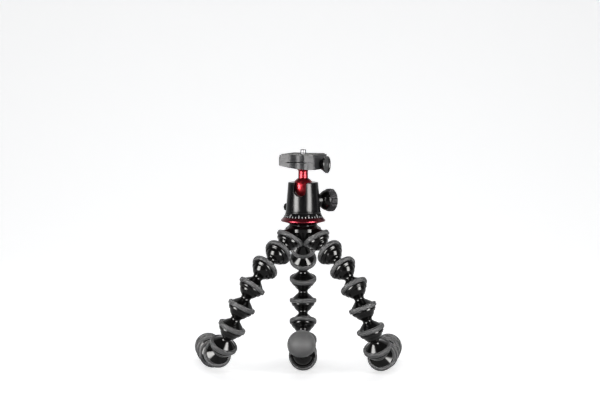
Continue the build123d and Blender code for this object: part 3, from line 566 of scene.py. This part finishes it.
link_mesh = lathe_mesh("link_moulding", link_profile(), 80)
ring_mesh = lathe_mesh("ring_moulding", ring_outline(), 80)
print("link", len(link_mesh.polygons), "ring", len(ring_mesh.polygons))

# %% [markdown]
# Where each link lies is already in the frame: the pivots of two joints in a row are the two
# ball centres of the link between them. The last piece of a leg has no joint after it, so its
# direction is read from the middle of its dome: the dome is round, so the middle of its skin lies
# on its axis, however its faces are divided.

# %% Legs
LINKS_PER_LEG = 9


def leg_points(leg):
    """Ball centres of a leg in order, and the middle of its dome's skin."""
    names = [f"{leg}_ball_joint_{number}" for number in range(1, LINKS_PER_LEG + 2)]
    balls = [Vector(joints[name]["pos_m"]) for name in names]
    faces = frame["nodes"][f"{leg}_foot_dome"].data.polygons
    skin = sum(face.area for face in faces)
    middle = sum((face.center * face.area for face in faces), Vector()) / skin
    return balls, middle


for leg in ("left", "right", "rear"):
    balls, middle = leg_points(leg)
    for number in range(1, LINKS_PER_LEG + 1):
        start, end = balls[number - 1], balls[number]
        place = standing(start, end - start)
        body = f"{leg}_link_{number}"
        node = f"{leg}_leg_link_{number}"
        moulding = settled(link_mesh, place)
        piece(f"{node}_moulding", moulding, moulded_black, body, node)
        piece(f"{node}_ring", ring_mesh, ring_rubber, body, node, place)
    print(leg, "leg reaches", [round(v, 3) for v in middle])

# %% [markdown]
# A foot is the same ball and waist with a domed rubber cap in place of the cup. The cap has the
# rings' rounded rim at its back, a short straight band and a full nose, like a rubber ferrule.
# The plastic ends in a short peg that the cap is pushed over.

# %% Feet
PEG_R, PEG_END = 10.3, 23.1
CAP_BORE_R, CAP_BORE_END = 10.45, 23.3
core_profile = ball_and_waist() + [(11.9, 16.9), (12.4, 17.2)]
core_profile += [(PEG_R, 17.25), (PEG_R, PEG_END), (0, PEG_END)]
dome_profile = [(CAP_BORE_R, 17.3)] + arc((RING_FLAT_R, 18.85), RING_EDGE, -90, 0, 6)
dome_profile += [(16.4, 20.0), (16.4, 21.2), (16.25, 23.2), (15.8, 25.4), (15.0, 27.6)]
dome_profile += [(13.8, 29.7), (12.1, 31.6), (9.9, 33.2), (7.2, 34.4), (4.2, 35.1), (1.6, 35.36)]
dome_profile += [(0, 35.4), (0, CAP_BORE_END), (CAP_BORE_R, CAP_BORE_END)]
core_mesh = lathe_mesh("foot_core_moulding", core_profile, 80)
dome_mesh = lathe_mesh("foot_dome_moulding", dome_profile, 80)
for leg in ("left", "right", "rear"):
    balls, middle = leg_points(leg)
    place = standing(balls[-1], middle - balls[-1])
    body = f"{leg}_foot"
    piece(f"{body}_core_moulding", settled(core_mesh, place), moulded_black, body,
          f"{leg}_foot_core")
    piece(f"{body}_dome_moulding", settled(dome_mesh, place), foot_rubber, body,
          f"{leg}_foot_dome")
print("feet done")

# %% [markdown]
# The hub isn't turned: it has three flats, slanted under-faces and three cups. Its solid
# already has that form, so a copy of it is dressed. A moulding has no knife edges, and a bevel
# gives every edge the thin line of light that shows where two black faces meet. Flat faces are
# first joined into single polygons, because a bevel needs real edges and not triangles.

# %% Softened copies
SAME_POINT = 0.002
SAME_PLANE = math.radians(0.6)


def softened(node, finish, body, width, sharp=28, segments=3):
    """Copy of a part with its flat faces joined and its edges rounded."""
    data = frame["nodes"][node].data.copy()
    mesh = bmesh.new()
    mesh.from_mesh(data)
    bmesh.ops.remove_doubles(mesh, verts=mesh.verts, dist=SAME_POINT * MM)
    bmesh.ops.dissolve_limit(mesh, angle_limit=SAME_PLANE, verts=mesh.verts, edges=mesh.edges)
    mesh.to_mesh(data)
    mesh.free()
    data.materials.clear()
    for layer in ("custom_normal", "sharp_edge"):
        if layer in data.attributes:
            data.attributes.remove(data.attributes[layer])
    data.shade_smooth()
    data.set_sharp_from_angle(angle=math.radians(sharp))
    made = piece(f"{node}_dressed", data, finish, body, node)
    bevel = made.modifiers.new("soft_edges", "BEVEL")
    bevel.width = width * MM
    bevel.segments = segments
    bevel.limit_method = "ANGLE"
    bevel.angle_limit = math.radians(sharp)
    bevel.harden_normals = True
    return made


hub_shell = softened("hub_body", moulded_black, "hub", 0.35)
softened("hub_lid", moulded_black, "hub", 0.2)
print("hub faces:", len(hub_shell.data.polygons))

# %% [markdown]
# Each of the hub's three cups wears the same rubber ring as the links. The ring's place comes
# from its ball: the cup's centre is the first ball centre of each leg, and the cup's axis leads
# outward and down through it, at the same dip on all three sides of the hub.

# %% Hub rings
CUP_DIP = math.radians(57)
for leg, azimuth in (("left", -60), ("right", 60), ("rear", 180)):
    turn = math.radians(azimuth)
    out = Vector((math.sin(turn), -math.cos(turn), 0)) * math.cos(CUP_DIP)
    axis = out - Vector((0, 0, math.sin(CUP_DIP)))
    centre = Vector(joints[f"{leg}_ball_joint_1"]["pos_m"])
    place = standing(centre - axis * PITCH * MM, axis)
    piece(f"hub_ring_{leg}", ring_mesh, ring_rubber, "hub", "hub_grip_rings", place)
print("hub rings done")

# %% [markdown]
# The head starts with a red disc, shown darker than the ball by painted shade: a wide rim over a
# slanted underside. It reads as one clean turned part, so its rim has small radii that catch the
# light as thin lines.

# %% Red base disc
head_place = Matrix.Translation(head_foot) @ Matrix.Rotation(HEAD_YAW, 4, "Z")
disc_profile = [(0, 0.02), (15.1, 0.02), (15.4, 0.25), (25.6, 3.3)]
disc_profile += arc((25.8, 3.8), 0.4, -60, 0, 3) + arc((25.8, 4.6), 0.4, 0, 55, 3)
disc_profile += [(23.5, 7.8)] + arc((23.0, 7.7), 0.4, 40, 90, 3) + [(0, 8.1)]
# The disc wears the darker copy of the red, which paints shade on it.
disc = piece("pan_disc", lathe_mesh("pan_disc", disc_profile, 128), disc_red_painted_shade, "hub", "pan_base",
             head_place)
print("disc", disc.name)

# %% [markdown]
# Above the disc stands a black conical ring with white degree marks, so the head can be turned
# by a known angle. The marks could be painted in the shader, but small raised quads keep their
# edges sharp at any distance. Long marks every 30 degrees, short ones every 10, and plain
# numbers over the long ones are what such a ring carries.

# %% Scale ring
RING_LOW, RING_HIGH = 8.1, 12.6
RING_LOW_R, RING_HIGH_R = 23.2, 20.8
MARK_FOOT, LONG_MARK, SHORT_MARK = 8.5, 2.1, 1.6
MARK_HALF = math.radians(0.9)
scale_profile = [(18.72, 8.12), (22.95, 8.12), (23.09, 8.3), (20.9, 12.42)]
scale_profile += [(20.7, 12.6), (18.72, 12.6)]
piece("scale_ring", lathe_mesh("scale_ring", scale_profile, 128), head_black, "hub",
      "pan_scale_ring", head_place)

print_white, tree, shader = new_material("print_white")
grain(tree, shader, (0.8, 0.8, 0.8), 0.05, 0.5, 0.05, 0.0004, 0.000005)


def on_cone(angle, height, proud=0.04):
    """Point in millimetres on the scale ring's cone, angle in radians from the notch side."""
    share = (height - RING_LOW) / (RING_HIGH - RING_LOW)
    radius = RING_LOW_R + (RING_HIGH_R - RING_LOW_R) * share + proud
    return Vector((radius * math.sin(angle), -radius * math.cos(angle), height)) * MM


def scale_marks():
    """Short and long marks round the scale ring."""
    mesh = bmesh.new()
    for degree in range(0, 360, 10):
        tall = LONG_MARK if degree % 30 == 0 else SHORT_MARK
        middle = math.radians(degree)
        corners = [
            mesh.verts.new(on_cone(middle + side * MARK_HALF, MARK_FOOT + rise))
            for side, rise in ((-1, 0), (1, 0), (1, tall), (-1, tall))
        ]
        mesh.faces.new(corners)
    data = bpy.data.meshes.new("scale_marks")
    mesh.to_mesh(data)
    mesh.free()
    return data


marks = piece("scale_marks", scale_marks(), print_white, "hub", "pan_scale_ring",
              head_place)
print("marks:", len(marks.data.polygons))

# %% [markdown]
# The numbers are flat text objects turned into meshes and bent round the cone. Bending is only
# a change of each point: its distance along the text becomes an angle, and its height on the
# text becomes a height on the cone.

# %% Scale numbers
NUMBER_SIZE, NUMBER_FOOT, NUMBER_R = 1.9, 10.75, 21.8


def number_mesh(text, angle):
    """Flat text bent round the scale ring at an angle in radians."""
    curve = bpy.data.curves.new(f"number_{text}", "FONT")
    curve.body = text
    curve.size = NUMBER_SIZE * MM
    curve.align_x = "CENTER"
    holder = bpy.data.objects.new(f"number_{text}", curve)
    bpy.context.scene.collection.objects.link(holder)
    flat = bpy.data.meshes.new_from_object(holder)
    bpy.data.objects.remove(holder)
    for vertex in flat.vertices:
        height = NUMBER_FOOT + vertex.co.y / MM
        turn = angle + vertex.co.x / MM / NUMBER_R
        vertex.co = on_cone(turn, height)
    return flat


for degree in range(0, 360, 30):
    flat = number_mesh(str(degree), math.radians(degree))
    piece(f"scale_number_{degree}", flat, print_white, "hub", "pan_scale_ring",
          head_place)
print("numbers done")

# %% [markdown]
# The housing is a tall tapered cup. It is turned as one closed profile, outside and inside, and
# the round-bottomed notch for the stem is then cut out of its front with a Boolean. The cutter
# is a prism with the notch's outline. A bevel after the cut rounds the notch's edge.

# %% Head housing
HOUSING_FOOT, HOUSING_TOP = 12.9, 49.1
BALL_H, HEAD_BALL_R, WELL_R = 42.8, 12.5, 12.62
NOTCH_HALF, NOTCH_CENTRE_H = 7.15, 40.05
MOUTH_R, MOUTH_EASE, MOUTH_EDGE = 10.93, 0.4, 0.05
FOOT_BORE_R, FOOT_BORE_TOP, WELL_FLOOR = 13.1, 21.3, 23.3
housing_profile = [(FOOT_BORE_R, HOUSING_FOOT), (20.4, HOUSING_FOOT)]
housing_profile += arc((20.4, 13.3), 0.4, -90, 0, 4)
housing_profile += [(20.8, 14.4), (20.25, 15.1), (18.97, 31.0), (17.72, 47.6)]
housing_profile += arc((16.5, 47.9), 1.2, 5, 90, 6)
mouth_angle = math.degrees(math.asin((HOUSING_TOP - BALL_H) / WELL_R))
housing_profile += arc((MOUTH_R + MOUTH_EASE, HOUSING_TOP - MOUTH_EDGE), MOUTH_EDGE, 90, 150, 2)
housing_profile += arc((0, BALL_H), WELL_R, mouth_angle, 0, 10)
housing_profile += [(WELL_R, WELL_FLOOR), (0, WELL_FLOOR)]
housing_profile += [(0, FOOT_BORE_TOP), (FOOT_BORE_R, FOOT_BORE_TOP)]
CUTTER_TOP, CUTTER_DEPTH, CUTTER_STEPS = 80.0, 40, 32


def notch_cutter():
    """Prism with the outline of the stem's notch, out through the front of the housing."""
    mesh = bmesh.new()
    outline = [(NOTCH_HALF, CUTTER_TOP)]
    for step in range(CUTTER_STEPS + 1):
        angle = -math.pi * step / CUTTER_STEPS
        across, up = NOTCH_HALF * math.cos(angle), NOTCH_HALF * math.sin(angle)
        outline.append((across, NOTCH_CENTRE_H + up))
    outline.append((-NOTCH_HALF, CUTTER_TOP))
    near = [mesh.verts.new((x * MM, 0, z * MM)) for x, z in outline]
    face = mesh.faces.new(near)
    far = bmesh.ops.extrude_face_region(mesh, geom=[face])["geom"]
    moved = [item for item in far if isinstance(item, bmesh.types.BMVert)]
    bmesh.ops.translate(mesh, verts=moved, vec=(0, -CUTTER_DEPTH * MM, 0))
    bmesh.ops.recalc_face_normals(mesh, faces=mesh.faces)
    data = bpy.data.meshes.new("notch_cutter")
    mesh.to_mesh(data)
    mesh.free()
    cutter = bpy.data.objects.new("notch_cutter", data)
    cutter.matrix_world = head_place
    bpy.context.scene.collection.objects.link(cutter)
    return cutter


def applied(made):
    """Replace a piece's mesh with the result of its modifiers."""
    bpy.context.view_layer.update()
    graph = bpy.context.evaluated_depsgraph_get()
    result = bpy.data.meshes.new_from_object(made.evaluated_get(graph))
    made.modifiers.clear()
    made.data = result
    return made


def notched(made, cutter):
    """Cut the notch out of a piece and round the edge that it leaves."""
    cut = made.modifiers.new("notch", "BOOLEAN")
    cut.operation = "DIFFERENCE"
    cut.solver = "EXACT"
    cut.object = cutter
    applied(made)
    made.data.shade_smooth()
    made.data.set_sharp_from_angle(angle=math.radians(35))
    bevel = made.modifiers.new("soft_notch", "BEVEL")
    bevel.width = 0.35 * MM
    bevel.segments = 3
    bevel.limit_method = "ANGLE"
    bevel.angle_limit = math.radians(50)
    bevel.harden_normals = True


housing = piece("housing_shell", lathe_mesh("housing_shell", housing_profile, 160), head_black,
                "head", "head_housing", head_place)
cutter = notch_cutter()
notched(housing, cutter)
print("housing faces:", len(housing.data.polygons))

# %% [markdown]
# Inside the notch the pale cup shows that carries the ball. It is turned and notched in the same
# way. The hidden block under it needs only its finish.

# %% Ball seat and inner block
seat_profile = [(7.2, 32.2), (12.5, 32.2), (12.5, 40.0)]
seat_profile += arc((0, BALL_H), WELL_R, -12.8, -55.2, 12)
seat = piece("seat_cup", lathe_mesh("seat_cup", seat_profile, 96), seat_pale, "head", "ball_seat",
             head_place)
notched(seat, cutter)
cutter_data = cutter.data
bpy.data.objects.remove(cutter)
bpy.data.meshes.remove(cutter_data)
print("seat faces:", len(seat.data.polygons))

# %% [markdown]
# The ball and its stem carry the strongest colour on the head. The ball is turned as a full
# sphere up to the flat that the stem stands on, and the stem flares through a shallow cove into
# a small collar where it meets the clamp.

# %% Ball and stem
STEM_R, STEM_BORE_R, COLLAR_R, STEM_TOP = 5.7, 2.6, 6.9, 64.7
flat_h = BALL_H + math.sqrt(HEAD_BALL_R**2 - STEM_R**2)
ball_profile = [(0, BALL_H - HEAD_BALL_R)] + arc((0, BALL_H), HEAD_BALL_R, -86, 62.8, 40)
ball_profile += [(0, flat_h)]
piece("head_ball", lathe_mesh("head_ball", ball_profile, 128), head_red, "ball", "ball",
      head_place)
stem_profile = [(STEM_BORE_R, flat_h), (5.5, flat_h), (STEM_R, flat_h + 0.2), (STEM_R, 61.6)]
stem_profile += [(5.75, 62.1), (6.1, 62.7), (6.75, 63.3), (COLLAR_R, 63.6)]
stem_profile += [(COLLAR_R, STEM_TOP), (STEM_BORE_R, STEM_TOP)]
piece("stem", lathe_mesh("stem", stem_profile, 96), head_red, "platform", "ball_stem",
      head_place)
print("flat at", round(flat_h, 2))

# %% [markdown]
# The lock knob sticks out to the right of the notch, turned a little away from the viewer, along
# the axis of its own joint. Its core flares from a slim neck, and a lobed rubber grip sits over
# it. The flare is turned, while the lobes are cut in the frame's solid already, so that piece is
# a softened copy. The small pan lock knob is one too, and it turns on its own screw.

# %% Lock knob
LOCK_H = 26.6
CORE_BORE_R, GRIP_BORE_R, BOSS_BORE_R = 3.05, 8.6, 3.2
lock_axis = Vector(joints["lock_knob_turn"]["axis"])
lock_place = standing(head_foot + Vector((0, 0, LOCK_H * MM)), lock_axis)
core_outline = [(CORE_BORE_R, 21.9), (6.4, 21.9), (6.6, 22.1), (6.6, 22.4), (8.3, 23.7)]
core_outline += [(9.8, 25.3), (11.0, 27.0), (11.8, 28.6), (12.15, 29.5), (12.15, 29.9)]
core_outline += [(GRIP_BORE_R, 30.0), (GRIP_BORE_R, 37.9), (8.3, 38.2), (CORE_BORE_R, 38.2)]
piece("lock_core", lathe_mesh("lock_core", core_outline, 96), moulded_black, "lock_knob",
      "lock_knob_core", lock_place)
boss_outline = [(BOSS_BORE_R, 14.0), (8.0, 14.0), (8.0, 21.3), (7.7, 21.6), (BOSS_BORE_R, 21.6)]
piece("lock_boss", lathe_mesh("lock_boss", boss_outline, 96), head_black, "head", "head_housing",
      lock_place)
lock_grip = softened("lock_knob_grip", knob_rubber, "lock_knob", 0.5)
softened("pan_lock_knob", knob_dark, "pan_lock", 0.15)
print("lock knob on", lock_grip.name)

# %% [markdown]
# The clamp, its moving jaw and the plate are machined from bar, with every edge broken. Copies
# of their solids with a narrow bevel show that broken edge. The thin rubber pad on the plate and
# the clamp's knob are made in the same way.

# %% Clamp and plate
softened("clamp_body", blasted_grey, "platform", 0.4)
softened("clamp_jaw", blasted_grey, "jaw", 0.4)
plate = softened("camera_plate", blasted_grey, "plate", 0.35)
softened("plate_pad", pad_black, "plate", 0.12)
softened("clamp_knob", knob_dark, "clamp_knob", 0.2)
print("plate faces:", len(plate.data.polygons))

# %% [markdown]
# Screws, pins and the hidden blocks keep the frame's own solids. They are small and plain, so a
# finish on the solid is enough, and it is set in the solid's material slots.

# %% Finishes on the solids that stay
kept = {
    "hub_stud": bare_steel, "hub_lid_screws": bare_steel, "pan_spindle": bare_steel,
    "pressure_wedge": seat_pale, "lock_knob_shaft": bare_steel, "pan_lock_screw": bare_steel,
    "clamp_bolt": bare_steel, "clamp_screw": bare_steel, "jaw_guide_pins": bare_steel,
    "camera_screw": bare_steel,
}
for node, finish in kept.items():
    data = frame["nodes"][node].data
    if not data.materials:
        data.materials.append(finish)
    for slot in range(len(data.materials)):
        data.materials[slot] = finish
print("solids kept:", len(kept))
